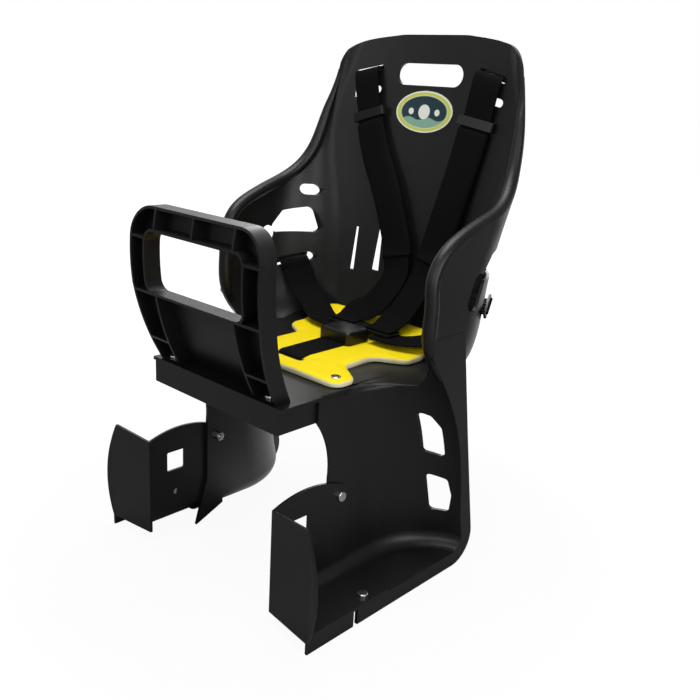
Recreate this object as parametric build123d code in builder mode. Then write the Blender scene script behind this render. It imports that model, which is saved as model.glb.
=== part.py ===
"""Child bike seat: a moulded bucket with leg guards, a bolted front guard, foot rests and a harness.

Millimetres. +Z is up, the child faces -Y, +X is the child's left. The origin is on the floor under the
middle of the seat. In the values below, y is measured from the front face of the seat's ledge.
"""
import os
from math import cos, radians, sin, tan

from build123d import *

os.makedirs("parts", exist_ok=True)

# Way from the ledge's front face to the middle of the seat
depth_middle = 158.8

# Walls and clearances
shell_wall = 4.0
rib_wall = 3.0
seat_gap = 0.3

# Bucket: height, half width and rear corner radius of each level
shell_top = 612.0
pan_top = 239.0
pan_half_width = 152.0
pan_corner = 100.0
hip_height = 290.0
hip_half_width = 175.0
hip_corner = 92.0
arm_height = 400.0
arm_half_width = 176.0
arm_corner = 74.0
shoulder_height = 480.0
shoulder_half_width = 178.0
shoulder_corner = 50.0
head_height = 545.0
head_half_width = 166.0
head_corner = 44.0
crown_half_width = 150.0
crown_corner = 40.0
back_foot = 297.0
back_recline = 7.2
corner_turn = 81.0
pan_kick_start = 232.0
pan_kick = 19.0

# Side line of the armrests
arm_front = 152.0
arm_front_top = 358.0
thigh_round = 56.0
rim_roll = 8.0
rim_bite = 0.3

# Ledge and leg guards
ledge_height = 29.0
ledge_depth = 72.0
plate_face = 108.0
ledge_half_width = plate_face - shell_wall
calf_radius = 100.0
sole_bottom = 14.0
sole_round = 16.0
plate_front = 75.0
plate_scallop = 95.0
rim_half_width = 176.0
heel_round = 34.0
rim_front = 58.0
skirt_rear = 100.0
skirt_top = 60.0
calf_window_reach = 150.0

# Openings in the shell
hand_slot_length = 101.0
hand_slot_height = 26.0
hand_slot_z = 565.0
strap_slot_x = 95.0
strap_slot_z = 567.0
spare_slot_drop = 26.0
strap_slot_length = 44.0
strap_slot_height = 9.0
strap_lean = 12.0
arm_slot_y = 222.0
arm_slot_z = 341.0
arm_slot_length = 44.0
arm_slot_height = 22.0
arm_slot_tilt = 66.0
lap_slot_y = 260.0
lap_slot_z = 316.0
lap_slot_length = 46.0
lap_slot_height = 11.0
lap_slot_tilt = 14.0
crotch_slot_y = 112.0
web_slot_length = 44.0
web_slot_height = 8.0

# Rack bolt pattern in the pan
rack_hole_radius = 3.3
rack_hole_depth = 13.0
rack_pitch = 100.0
rack_centre_y = 150.0
boss_radius = 10.0
boss_drop = 12.0
boss_face = pan_top - shell_wall - boss_drop

# Front guard
guard_half_width = 106.0
guard_foot_half_width = 97.0
guard_height = 178.0
guard_depth = 20.0
guard_bow = 27.0
guard_top_lean = 24.0
guard_corner = 34.0
guard_window_width = 158.0
guard_window_height = 66.0
guard_panel_width = 128.0
guard_window_z = 358.0
guard_window_corner = 12.0
guard_foot_y = 4.0
guard_bow_z = 330.0
guard_bolt_x = 81.0
guard_bolt_y = 10.5

# Foot rests
foot_front = 8.0
foot_flare = 9.0
foot_height = 138.0
foot_flap_bottom = 12.0
foot_rear = 106.0
foot_lip_rear = 52.0
foot_bulge = 9.0
foot_wall = 3.0
foot_window_size = 25.0
foot_window_y = 30.0
foot_hole_radius = 3.5
foot_hole_z = 56.0
foot_window_z = 98.0
wall_bolt_y = 92.0
wall_bolt_z = 115.0
sole_bolt_x = 164.0
sole_bolt_y = 78.0

# Fasteners
bolt_radius = 3.0
bolt_hole_radius = 3.3
bolt_tail = 2.0
nut_flats = 10.0
nut_height = 5.0
nut_bore_radius = 3.1
bolt_head_radius = 6.0
bolt_head_height = 3.2
clamp_gap = 0.05

# Pad
pad_thickness = 7.0
pad_front = 82.0
pad_rear = 284.0
pad_half_width = 103.0
pad_lobe = 100.0
pad_waist = 64.0
snap_radius = 6.0
snap_stem_radius = 2.0
snap_height = 2.0
snap_x = 88.0
snap_y = 98.0

# Harness
web_width = 38.0
web_thickness = 2.0
web_gap = 0.3
sleeve_width = 44.0
sleeve_thickness = 7.0
adjuster_width = 50.0
adjuster_thickness = 7.0
adjuster_length = 11.0
stop_width = 48.0
stop_height = 9.0
stop_thickness = 3.0
buckle_y = 204.0
buckle_width = 50.0
buckle_length = 40.0
buckle_height = 18.0
buckle_round = 6.0
tongue_thickness = 3.0
tongue_width = 104.0
tongue_depth = 26.0
blade_width = 28.0
blade_length = 16.0

# Label
label_width = 88.0
label_height = 50.0
label_thickness = 1.0
label_gap = 0.2
label_z = 521.0


# Planes of the drawing, with the ledge's front face at their y = 0
plan_plane = Plane((0, -depth_middle, 0), x_dir=(1, 0, 0), z_dir=(0, 0, 1))
side_plane = Plane((0, -depth_middle, 0), x_dir=(0, 1, 0), z_dir=(1, 0, 0))
front_plane = Plane((0, -depth_middle, 0), x_dir=(1, 0, 0), z_dir=(0, -1, 0))


def in_frame(point):
    """Place in the part's frame of a point whose y is measured from the ledge's front face."""
    return Vector(point[0], point[1] - depth_middle, point[2])


def back_at(height):
    """Rear face of the bucket on the centre line at a height."""
    return back_foot + (height - pan_top) * tan(radians(back_recline))


def bucket_outline(height, half_width, rear, corner, front):
    """Plan of the bucket at a height: straight arms, round rear corners and a gently bowed back."""
    back_radius = (half_width - corner) / cos(radians(corner_turn)) + corner
    back_centre = rear - back_radius
    corner_y = back_centre + (back_radius - corner) * sin(radians(corner_turn))
    corner_x = half_width - corner
    with BuildSketch(plan_plane.offset(height)) as outline:
        with BuildLine():
            Line((half_width, front), (half_width, corner_y))
            CenterArc((corner_x, corner_y), corner, 0, corner_turn)
            CenterArc((0, back_centre), back_radius, corner_turn, 180 - 2 * corner_turn)
            CenterArc((-corner_x, corner_y), corner, 180 - corner_turn, corner_turn)
            Line((-half_width, corner_y), (-half_width, front))
            Line((-half_width, front), (half_width, front))
        make_face()
    return outline.sketch.face()


def bucket_levels(floor, top):
    """Height, half width and corner radius of the sections from the pan to the crown."""
    return [
        (floor, pan_half_width, pan_corner),
        (hip_height, hip_half_width, hip_corner),
        (arm_height, arm_half_width, arm_corner),
        (shoulder_height, shoulder_half_width, shoulder_corner),
        (head_height, head_half_width, head_corner),
        (top, crown_half_width, crown_corner),
    ]


def bucket_form(floor, top, front, inset):
    """Solid of the bucket, drawn in by an inset from its outer face."""
    sections = [
        bucket_outline(height, half_width - inset, back_at(height) - inset, corner - inset, front)
        for height, half_width, corner in bucket_levels(floor, top)
    ]
    with BuildPart() as form:
        loft(sections)
    return form.part


def kick_wedge(floor):
    """Wedge under the rear of the pan, where the floor rises to the back."""
    run = back_foot + 40 - pan_kick_start
    with BuildPart() as wedge:
        with BuildSketch(side_plane):
            with BuildLine():
                Polyline(
                    (pan_kick_start, floor),
                    (pan_kick_start + run, floor + run * tan(radians(pan_kick))),
                    (pan_kick_start + run, floor - 30),
                    (pan_kick_start, floor - 30),
                    close=True,
                )
            make_face()
        extrude(amount=arm_half_width + 10, both=True)
    return wedge.part


# Side line above the armrest's front, in side view
arm_line = Spline(
    (arm_front, arm_front_top),
    (157, 376),
    (175, 392),
    (215, 411),
    (258, 426),
    (290, 449),
    (308, 487),
    (318.5, 550),
    (326, shell_top + 20),
)

# Crown line from the top of the side line to the middle, in front view
crown_line = Spline(
    (146, 546),
    (142, 572),
    (128, 593),
    (100, 605),
    (60, shell_top - 1.5),
    (0, shell_top),
    tangents=((-0.1, 1), (-1, 0)),
)

# Rolled edge: y, z and fullness on the leg guard, then shares of the side line with their fullness
roll_foot = [(184, 238, 0.35), (170, 258, 0.6), (157, 280, 0.85), (arm_front, 300, 1), (arm_front, 335, 1)]
roll_shares = [(0, 1), (0.09, 1), (0.18, 1), (0.27, 1), (0.36, 1), (0.45, 1), (0.54, 0.97), (0.62, 0.88),
               (0.69, 0.7), (0.76, 0.48), (0.82, 0.3)]


def rolled_edge(bucket):
    """Round rim lofted along the left side line, its outer side flush with the bucket."""
    stations = [(in_frame((rim_half_width, y, z)), Vector(1, 0, 0), full) for y, z, full in roll_foot]
    for share, full in roll_shares:
        place = arm_line @ share
        hits = bucket.find_intersection_points(Axis(in_frame((0, place.X, place.Y)), (1, 0, 0)))
        stations.append((*max(hits, key=lambda hit: hit[0].X), full))
    centres = [point - normal * (rim_roll * full - rim_bite) for point, normal, full in stations]
    sections = []
    for index, (point, normal, full) in enumerate(stations):
        along = (centres[min(index + 1, len(centres) - 1)] - centres[max(index - 1, 0)]).normalized()
        out = normal - along * normal.dot(along)
        with BuildSketch(Plane(centres[index], x_dir=out, z_dir=along)) as section:
            Circle(rim_roll * full)
        sections.append(section.sketch.face())
    with BuildPart() as rim:
        loft(sections)
    return rim.part


# Calf line of a leg guard: height and the y where the plate starts to curve outwards
calf_levels = [
    (sole_bottom, 156.0),
    (120.0, 133.0),
    (200.0, 108.0),
    (250.0, 78.0),
    (hip_height + 12, 42.0),
]


def leg_form(inset, reach, front):
    """Space of one leg beside the plate: flat along the plate, round behind the calf."""
    face = plate_face - inset
    radius = calf_radius + inset
    with BuildPart() as form:
        for height, start in calf_levels:
            with BuildSketch(plan_plane.offset(height)):
                with BuildLine():
                    Line((face, front), (face, start))
                    CenterArc((face + radius, start), radius, 180, -90)
                    Line((face + radius, start + radius), (reach, start + radius))
                    Line((reach, start + radius), (reach, front))
                    Line((reach, front), (face, front))
                make_face()
        loft()
    return form.part


# Inside of the bucket, with its floor rising to the back
bucket_outer = bucket_form(pan_top - shell_wall, shell_top + 12, -20, 0)
bucket_inner = bucket_form(pan_top, shell_top + 30, -60, shell_wall)
left_roll = rolled_edge(bucket_outer)
pan_rise = kick_wedge(pan_top)
pan_under = kick_wedge(pan_top - shell_wall - 1)
with BuildPart() as bucket_space:
    add(bucket_inner)
    add(pan_rise, mode=Mode.SUBTRACT)

# Leg space on the left side, above the sole
leg_inner = leg_form(0, 300, -60)
leg_outer = leg_form(shell_wall, 300, -60)
with BuildPart() as leg_space:
    add(leg_inner)
    with BuildSketch(plan_plane):
        Rectangle(900, 900)
    extrude(amount=sole_bottom + shell_wall, mode=Mode.SUBTRACT)
    fillet(leg_space.edges().group_by(Axis.Z)[0].filter_by(lambda e: e.center().X < 200)
           .filter_by(lambda e: e.center().Y > -depth_middle - 20), sole_round)

# Wall round the leg space, before the leg space is cut out of it
with BuildPart() as leg_block:
    add(leg_outer)
    fillet(leg_block.edges().group_by(Axis.Z)[0].filter_by(lambda e: e.center().X < 200)
           .filter_by(lambda e: e.center().Y > -depth_middle - 20), sole_round + shell_wall)
    with BuildSketch(side_plane):
        with BuildLine():
            Polyline(
                (plate_front, skirt_top),
                (rim_front, 0),
                (400, 0),
                (400, hip_height + 40),
                (rim_front - 4, hip_height + 40),
                (rim_front - 4, pan_top - ledge_height),
            )
            RadiusArc((rim_front - 4, pan_top - ledge_height), (plate_front, 140), plate_scallop)
            Line((plate_front, 140), (plate_front, skirt_top))
        make_face()
    extrude(amount=rim_half_width, mode=Mode.INTERSECT)

with BuildPart() as seat_shell:
    # Bucket
    add(bucket_outer)
    add(pan_under, mode=Mode.SUBTRACT)
    # Leg guards, and the rim that is turned back round their open sides
    add(leg_block.part)
    with BuildSketch(side_plane.offset(rim_half_width - shell_wall)):
        with BuildLine():
            Polyline(
                (rim_front, 0),
                (270, 0),
                (233, 170),
                (206, hip_height + 10),
                (arm_front, hip_height + 10),
                (arm_front, 200),
                (rim_front, 100),
                close=True,
            )
        make_face()
        fillet(vertices().group_by(Axis.X)[-1], heel_round)
    extrude(amount=shell_wall)
    # Skirt of the plate down to the floor
    with BuildSketch(side_plane.offset(plate_face - shell_wall)):
        with BuildLine():
            Polyline(
                (rim_front, 0),
                (skirt_rear, 18),
                (skirt_rear, skirt_top),
                (plate_front, skirt_top),
                close=True,
            )
        make_face()
    extrude(amount=shell_wall)
    mirror(about=side_plane)
    # Ledge
    with BuildSketch(plan_plane.offset(pan_top - ledge_height)):
        with Locations((0, ledge_depth / 2)):
            Rectangle(2 * ledge_half_width, ledge_depth)
    extrude(amount=ledge_height)
    # Hollows: seat, legs, wheel space and the sides of the ledge
    add(bucket_space.part, mode=Mode.SUBTRACT)
    add(leg_space.part, mode=Mode.SUBTRACT)
    add(leg_space.part.mirror(side_plane), mode=Mode.SUBTRACT)
    with BuildSketch(plan_plane.offset(-10)):
        with Locations((0, 200 + shell_wall)):
            Rectangle(2 * (ledge_half_width - shell_wall), 400)
    extrude(amount=pan_top - shell_wall + 10, mode=Mode.SUBTRACT)
    # Side line
    with BuildSketch(side_plane):
        with BuildLine():
            Line((0, -20), (0, pan_top))
            Line((0, pan_top), (arm_front - thigh_round, pan_top))
            CenterArc((arm_front - thigh_round, pan_top + thigh_round), thigh_round, -90, 90)
            Line((arm_front, pan_top + thigh_round), (arm_front, arm_front_top))
            add(arm_line)
            Polyline((326, shell_top + 20), (420, shell_top + 20), (420, -20), (0, -20))
        make_face()
    extrude(amount=300, both=True, mode=Mode.INTERSECT)
    # Crown line
    with BuildSketch(front_plane):
        with BuildLine():
            add(crown_line)
            Polyline((146, 546), (160, 530), (220, 460), (220, -20), (0, -20))
            mirror(about=side_plane)
        make_face()
    extrude(amount=500, both=True, mode=Mode.INTERSECT)
    # Rolled edges
    add(left_roll)
    add(left_roll.mirror(side_plane))
    # Hand slot and strap slots in the back
    with BuildSketch(front_plane):
        with Locations((0, hand_slot_z)):
            SlotOverall(hand_slot_length, hand_slot_height)
        for side in (-1, 1):
            for height in (strap_slot_z, strap_slot_z - spare_slot_drop):
                with Locations((side * strap_slot_x, height)):
                    SlotOverall(strap_slot_length, strap_slot_height, rotation=-side * strap_lean)
            # Tapered slots low in the back
            for x, low, high, foot, tip in ((42, 316, 398, 13, 4), (80, 311, 368, 8, 6)):
                with BuildLine():
                    Polyline(
                        (side * (x - foot / 2), low),
                        (side * (x + foot / 2), low),
                        (side * (x + tip / 2), high),
                        (side * (x - tip / 2), high),
                        close=True,
                    )
                make_face()
    extrude(amount=-500, mode=Mode.SUBTRACT)
    # Openings in the side walls, and the slots of the lap webs
    with BuildSketch(side_plane) as side_openings:
        with BuildLine():
            Polyline((224, 352), (250, 381), (287, 387), (290, 353), close=True)
        make_face()
        fillet(side_openings.vertices(), 7)
        with Locations((286, 409)):
            SlotOverall(22, 14)
        with Locations((arm_slot_y, arm_slot_z)):
            SlotOverall(arm_slot_length, arm_slot_height, rotation=arm_slot_tilt)
        with Locations((lap_slot_y, lap_slot_z)):
            SlotOverall(lap_slot_length, lap_slot_height, rotation=lap_slot_tilt)
    extrude(amount=200, both=True, mode=Mode.SUBTRACT)
    # Windows in the calf walls
    with BuildSketch(front_plane.offset(-calf_window_reach)) as calf_windows:
        with BuildLine():
            Polyline((138, 203), (151, 197), (159, 181), (159, 141), (137, 148), close=True)
        make_face()
        with BuildLine():
            Polyline((138, 118), (161, 111), (165, 90), (162, 67), (141, 68), close=True)
        make_face()
        fillet(calf_windows.vertices(), 5)
        mirror(about=side_plane)
    extrude(amount=-calf_window_reach, mode=Mode.SUBTRACT)
    # Ribs and bolt bosses under the pan
    with BuildSketch(plan_plane.offset(boss_face)):
        with Locations((0, rack_centre_y)):
            with GridLocations(rack_pitch, rack_pitch, 2, 2):
                Circle(boss_radius)
            with GridLocations(rack_pitch, 0, 2, 1):
                Rectangle(rib_wall, rack_pitch)
            with GridLocations(0, rack_pitch, 1, 2):
                Rectangle(2 * (plate_face - shell_wall / 2), rib_wall)
    extrude(amount=boss_drop + shell_wall / 2)
    with BuildSketch(plan_plane.offset(boss_face)):
        with Locations((0, rack_centre_y)):
            with GridLocations(rack_pitch, rack_pitch, 2, 2):
                Circle(rack_hole_radius)
    extrude(amount=rack_hole_depth, mode=Mode.SUBTRACT)
    # Holes for the crotch web, the guard bolts and the foot rest bolts
    with BuildSketch(plan_plane.offset(-10)):
        with Locations((0, crotch_slot_y)):
            SlotOverall(web_slot_length, web_slot_height)
        with Locations((-guard_bolt_x, guard_bolt_y), (guard_bolt_x, guard_bolt_y)):
            Circle(bolt_hole_radius)
        with Locations((-sole_bolt_x, sole_bolt_y), (sole_bolt_x, sole_bolt_y)):
            Circle(bolt_hole_radius)
    extrude(amount=pan_top + 40, mode=Mode.SUBTRACT)
    with BuildSketch(side_plane):
        with Locations((wall_bolt_y, wall_bolt_z)):
            Circle(bolt_hole_radius)
    extrude(amount=200, both=True, mode=Mode.SUBTRACT)

seat_shell.part.label = "seat_shell"
export_step(seat_shell.part, "parts/seat_shell.step")


# Front guard: a ribbed frame, open to the front, bowed in side view
guard_foot = pan_top + seat_gap
guard_top = guard_foot + guard_height


def guard_band(set_back, depth):
    """Curved band across the seat, from the guard's front face to a depth behind it."""
    front = ((guard_foot_y, guard_foot), (-guard_bow, guard_bow_z), (-guard_top_lean, guard_top))
    with BuildPart() as band:
        with BuildSketch(side_plane):
            with BuildLine():
                near = ThreePointArc(*[(y + set_back, z) for y, z in front])
                far = ThreePointArc(*[(y + set_back + depth, z) for y, z in front])
                Line(near @ 0, far @ 0)
                Line(near @ 1, far @ 1)
            make_face()
        extrude(amount=guard_half_width + 20, both=True)
    return band.part


with BuildSketch(front_plane) as guard_face:
    with BuildLine():
        Polyline(
            (-guard_foot_half_width, guard_foot),
            (guard_foot_half_width, guard_foot),
            (guard_half_width, guard_bow_z),
            (guard_half_width, guard_top),
            (-guard_half_width, guard_top),
            (-guard_half_width, guard_bow_z),
            close=True,
        )
    make_face()
    fillet(guard_face.vertices().group_by(Axis.Y)[-1], guard_corner)

with BuildSketch() as guard_window:
    RectangleRounded(guard_window_width, guard_window_height, guard_window_corner)

guard_deep = guard_band(0, guard_depth)
guard_skin = guard_band(guard_depth - rib_wall, rib_wall)
window_low = guard_window_z - guard_window_height / 2
window_high = guard_window_z + guard_window_height / 2

with BuildPart() as guard_frame:
    with BuildSketch(front_plane):
        add(guard_face.sketch)
        offset(amount=-rib_wall, mode=Mode.SUBTRACT)
        # Window frame and the ribs of the channels round it
        with Locations((0, guard_window_z)):
            RectangleRounded(
                guard_window_width + 2 * rib_wall,
                guard_window_height + 2 * rib_wall,
                guard_window_corner + rib_wall,
            )
        with Locations((0, (window_high + guard_top) / 2)):
            with GridLocations(guard_panel_width / 2, 0, 3, 1):
                Rectangle(rib_wall, guard_top - window_high - rib_wall)
        panel_edge = guard_panel_width / 2
        for side in (-1, 1):
            with Locations((side * panel_edge, (guard_foot + window_low) / 2)):
                Rectangle(rib_wall, window_low - guard_foot - rib_wall)
            rungs = ((guard_foot + 28, 1), (window_low - rib_wall / 2, 7), (window_high - 8, 8))
            for height, reach in rungs:
                outer = guard_foot_half_width - rib_wall / 2 + reach
                with Locations((side * (panel_edge + outer) / 2, height)):
                    Rectangle(outer - panel_edge, rib_wall)
        with Locations((0, guard_window_z)):
            add(guard_window.sketch, mode=Mode.SUBTRACT)
    extrude(amount=80, both=True)
    add(guard_deep, mode=Mode.INTERSECT)
    with BuildSketch(plan_plane.offset(guard_foot - 1)):
        with Locations((-guard_bolt_x, guard_bolt_y), (guard_bolt_x, guard_bolt_y)):
            Circle(bolt_hole_radius)
    extrude(amount=20, mode=Mode.SUBTRACT)

with BuildPart() as guard_web:
    with BuildSketch(front_plane):
        add(guard_face.sketch)
        with Locations((0, guard_window_z)):
            add(guard_window.sketch, mode=Mode.SUBTRACT)
    extrude(amount=80, both=True)
    add(guard_skin, mode=Mode.INTERSECT)

with BuildPart() as front_guard:
    add(guard_frame.part)
    add(guard_web.part)
front_guard.part.label = "front_guard"
export_step(front_guard.part, "parts/front_guard.step")


# Foot rests: an angled tray bolted inside each leg guard, with a front flap and an outer lip
tray_face = plate_face + seat_gap
tray_floor = sole_bottom + shell_wall + seat_gap
with BuildPart() as foot_tray:
    # Wall and sole of the tray
    with BuildSketch(front_plane.offset(foot_front)) as tray_section:
        with BuildLine():
            Polyline(
                (tray_face, foot_height + 10),
                (tray_face, tray_floor),
                (rim_half_width, tray_floor),
                (rim_half_width, tray_floor + foot_wall),
                (tray_face + foot_wall, tray_floor + foot_wall),
                (tray_face + foot_wall, foot_height + 10),
                close=True,
            )
        make_face()
        corners = tray_section.vertices().group_by(Axis.X)
        fillet(corners[0].sort_by(Axis.Y)[0], sole_round - seat_gap)
        inner_corner = (tray_face + foot_wall, tray_floor + foot_wall)
        fillet(tray_section.vertices().sort_by_distance(inner_corner)[0], sole_round - seat_gap - foot_wall)
    extrude(amount=-foot_front - foot_rear)
    with BuildSketch(side_plane) as wall_line:
        with BuildLine():
            Line((-foot_front, 0), (-foot_front, foot_height - 6))
            ThreePointArc(
                (-foot_front, foot_height - 6),
                (45, foot_height + 3),
                (foot_rear, foot_height - 16),
            )
            Line((foot_rear, foot_height - 16), (foot_rear, 0))
            Line((foot_rear, 0), (-foot_front, 0))
        make_face()
        fillet(wall_line.vertices().group_by(Axis.X)[-1].sort_by(Axis.Y)[-1], 18)
    extrude(amount=300, mode=Mode.INTERSECT)
    # Square window in the wall and a round hole under it
    with BuildSketch(side_plane.offset(tray_face - 2)):
        with Locations((foot_window_y, foot_window_z)):
            RectangleRounded(foot_window_size, foot_window_size, 2)
        with Locations((foot_window_y, foot_hole_z)):
            Circle(foot_hole_radius)
    extrude(amount=foot_wall + 4, mode=Mode.SUBTRACT)
    # Outer lip down to the floor
    with BuildSketch(plan_plane):
        with Locations((rim_half_width - foot_wall / 2, (foot_lip_rear - foot_front - foot_flare) / 2)):
            Rectangle(foot_wall, foot_lip_rear + foot_front + foot_flare)
    extrude(amount=tray_floor + foot_wall)
    # Bolt holes
    with BuildSketch(plan_plane.offset(tray_floor - 2)):
        with Locations((sole_bolt_x, sole_bolt_y)):
            Circle(bolt_hole_radius)
    extrude(amount=foot_wall + 4, mode=Mode.SUBTRACT)
    with BuildSketch(side_plane.offset(tray_face - 2)):
        with Locations((wall_bolt_y, wall_bolt_z)):
            Circle(bolt_hole_radius)
    extrude(amount=foot_wall + 4, mode=Mode.SUBTRACT)

with BuildPart() as foot_flap:
    with BuildSketch(front_plane):
        with BuildLine():
            Line((tray_face, foot_flap_bottom), (tray_face, foot_height - 6))
            Line((tray_face, foot_height - 6), (rim_half_width - foot_bulge, foot_height))
            ThreePointArc(
                (rim_half_width - foot_bulge, foot_height),
                (rim_half_width + foot_bulge, foot_height / 2),
                (rim_half_width, foot_flap_bottom),
            )
            Line((rim_half_width, foot_flap_bottom), (tray_face, foot_flap_bottom))
        make_face()
    extrude(amount=80, both=True)
    with BuildSketch(plan_plane):
        with BuildLine():
            Polyline(
                (tray_face, -foot_front),
                (rim_half_width, -foot_front - foot_flare),
                (rim_half_width + foot_bulge, -foot_front - foot_flare - 2),
                (rim_half_width + foot_bulge, -foot_front - foot_flare + foot_wall),
                (rim_half_width, -foot_front - foot_flare + foot_wall),
                (tray_face, -foot_front + foot_wall),
                close=True,
            )
        make_face()
    extrude(amount=foot_height + 10, mode=Mode.INTERSECT)

with BuildPart() as left_footrest:
    add(foot_tray.part)
    add(foot_flap.part)
    # Sole between the tray and the slanting flap
    with BuildSketch(plan_plane.offset(tray_floor)):
        with BuildLine():
            Polyline(
                (tray_face + sole_round, -foot_front - foot_flare / 4),
                (rim_half_width, -foot_front - foot_flare + foot_wall / 2),
                (rim_half_width, -foot_front + foot_wall),
                (tray_face + sole_round, -foot_front + foot_wall),
                close=True,
            )
        make_face()
    extrude(amount=foot_wall)
left_footrest.part.label = "left_footrest"
export_step(left_footrest.part, "parts/left_footrest.step")

with BuildPart() as right_footrest:
    add(left_footrest.part.mirror(side_plane))
right_footrest.part.label = "right_footrest"
export_step(right_footrest.part, "parts/right_footrest.step")


# Seat pad: plan outline, bent where the pan rises
pad_under = pan_top + seat_gap
pad_top = pad_under + pad_thickness
with BuildPart() as seat_pad:
    with BuildSketch(plan_plane.offset(pad_under - 5)) as pad_plan:
        with BuildLine():
            Polyline(
                (0, pad_front),
                (pad_half_width, pad_front),
                (pad_half_width, pad_front + 30),
                (pad_waist, pad_front + 58),
                (pad_waist, pad_rear - 98),
                (pad_lobe, pad_rear - 76),
                (pad_lobe, pad_rear),
                (0, pad_rear),
            )
            mirror(about=side_plane)
        make_face()
        fillet(pad_plan.vertices().filter_by(lambda v: abs(v.X) > 1), 14)
        with Locations((0, crotch_slot_y)):
            SlotOverall(web_slot_length, web_slot_height, mode=Mode.SUBTRACT)
        with Locations((-snap_x, snap_y), (snap_x, snap_y)):
            Circle(snap_stem_radius + seat_gap, mode=Mode.SUBTRACT)
    extrude(amount=80)
    with BuildSketch(side_plane):
        with BuildLine():
            rise = (pad_rear + 6 - pan_kick_start) * tan(radians(pan_kick))
            Polyline(
                (pad_front - 6, pad_under),
                (pan_kick_start, pad_under),
                (pad_rear + 6, pad_under + rise),
                (pad_rear + 6, pad_top + rise),
                (pan_kick_start, pad_top),
                (pad_front - 6, pad_top),
                close=True,
            )
        make_face()
    extrude(amount=200, both=True, mode=Mode.INTERSECT)
seat_pad.part.label = "seat_pad"
export_step(seat_pad.part, "parts/seat_pad.step")

with BuildPart() as pad_snaps:
    with BuildSketch(plan_plane.offset(pad_under)):
        with Locations((-snap_x, snap_y), (snap_x, snap_y)):
            Circle(snap_stem_radius)
    extrude(amount=pad_thickness + clamp_gap)
    with BuildSketch(plan_plane.offset(pad_top + clamp_gap)):
        with Locations((-snap_x, snap_y), (snap_x, snap_y)):
            Circle(snap_radius)
    extrude(amount=snap_height)
    fillet(pad_snaps.faces().group_by(Axis.Z)[-1].edges(), snap_height * 0.6)
pad_snaps.part.label = "pad_snaps"
export_step(pad_snaps.part, "parts/pad_snaps.step")


def web_planes(route):
    """Planes across a web at its stations, each station a point and the direction across the web."""
    planes = []
    for index, (point, across) in enumerate(route):
        before = Vector(*route[max(index - 1, 0)][0])
        after = Vector(*route[min(index + 1, len(route) - 1)][0])
        along = (after - before).normalized()
        side = Vector(*across)
        across_web = side - along * side.dot(along)
        planes.append(Plane(in_frame(point), x_dir=across_web, z_dir=along))
    return planes


def web_form(planes, width, thickness):
    """Flat web lofted through a row of planes."""
    sections = []
    for plane in planes:
        with BuildSketch(plane) as section:
            Rectangle(width, thickness)
        sections.append(section.sketch.face())
    with BuildPart() as form:
        loft(sections, ruled=True)
    return form.part


# Routes of the webs, from behind the shell to the buckle
tongue_z = pad_top + seat_gap + buckle_height * 0.6
tongue_y = buckle_y + buckle_length / 2 + 2
web_lie = tongue_z + tongue_thickness + web_gap + web_thickness / 2
web_under = tongue_z - web_gap - web_thickness / 2
flat = (1, 0, 0)
left_lean = (cos(radians(strap_lean)), 0, -sin(radians(strap_lean)))
right_lean = (cos(radians(strap_lean)), 0, sin(radians(strap_lean)))
left_shoulder_route = [
    ((strap_slot_x, 347, strap_slot_z), left_lean),
    ((strap_slot_x, 333, strap_slot_z), left_lean),
    ((94, 321, 564), left_lean),
    ((88, 316.5, 520), left_lean),
    ((85.6, 314.5, 505), left_lean),
    ((80, 310, 470), flat),
    ((70, 302.5, 416), flat),
    ((58, 296, 360), flat),
    ((54, 291, 342), flat),
    ((50, 283, 318), flat),
    ((40, 264, 284), flat),
    ((33, 254, web_lie + 9), flat),
    ((30, tongue_y + tongue_depth - 6, web_lie + 2), flat),
    ((30, tongue_y + tongue_depth - 14, web_lie + 0.2), flat),
    ((30, tongue_y + 5, web_lie), flat),
]
right_shoulder_route = [
    ((-strap_slot_x, 347, strap_slot_z), right_lean),
    ((-strap_slot_x, 333, strap_slot_z), right_lean),
    ((-94, 321, 564), right_lean),
    ((-82, 316.5, 520), right_lean),
    ((-77.5, 314.5, 505), right_lean),
    ((-62, 310, 470), flat),
    ((-30, 302.5, 416), flat),
    ((-4, 296, 360), flat),
    ((2, 291, 342), flat),
    ((8, 283, 318), flat),
    ((-6, 264, 284), flat),
    ((-26, 254, web_lie + 9), flat),
    ((-30, tongue_y + tongue_depth - 6, web_lie + 2), flat),
    ((-30, tongue_y + tongue_depth - 14, web_lie + 0.2), flat),
    ((-30, tongue_y + 5, web_lie), flat),
]
lap_y = tongue_y + tongue_depth / 2 - 6
left_lap_route = [
    ((buckle_width / 2 + 4, lap_y, web_under), (0, 1, 0)),
    ((54, lap_y, web_under), (0, 1, 0)),
    ((76, lap_y + 6, web_under + 2), (-0.1, 1, 0.1)),
    ((103, 254, 265), (-0.25, 1, 0.2)),
    ((128, 258, 282), (-0.45, 0.88, 0.15)),
    ((142, 258, 303), (-0.6, 0.8, 0.15)),
    ((149, 257, 314.5), (-0.636, 0.77, 0.2)),
    ((161, 262.5, 317), (-0.636, 0.77, 0.2)),
    ((166.5, 265, 318.1), (-0.636, 0.77, 0.2)),
]
crotch_route = [
    ((0, buckle_y - buckle_length / 2 + 8, pad_top + 3.6), flat),
    ((0, buckle_y - buckle_length / 2 - 6, pad_top + 3), flat),
    ((0, 126, pad_top + 2), flat),
    ((0, crotch_slot_y + 7, pad_top + 2), flat),
    ((0, crotch_slot_y + 2, pad_top + 0.8), flat),
    ((0, crotch_slot_y, pad_top - 3), flat),
    ((0, crotch_slot_y, pan_top), flat),
    ((0, crotch_slot_y, pan_top - shell_wall - 8), flat),
]
left_shoulder = web_planes(left_shoulder_route)
right_shoulder = web_planes(right_shoulder_route)
left_lap = web_planes(left_lap_route)
crotch = web_planes(crotch_route)

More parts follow.
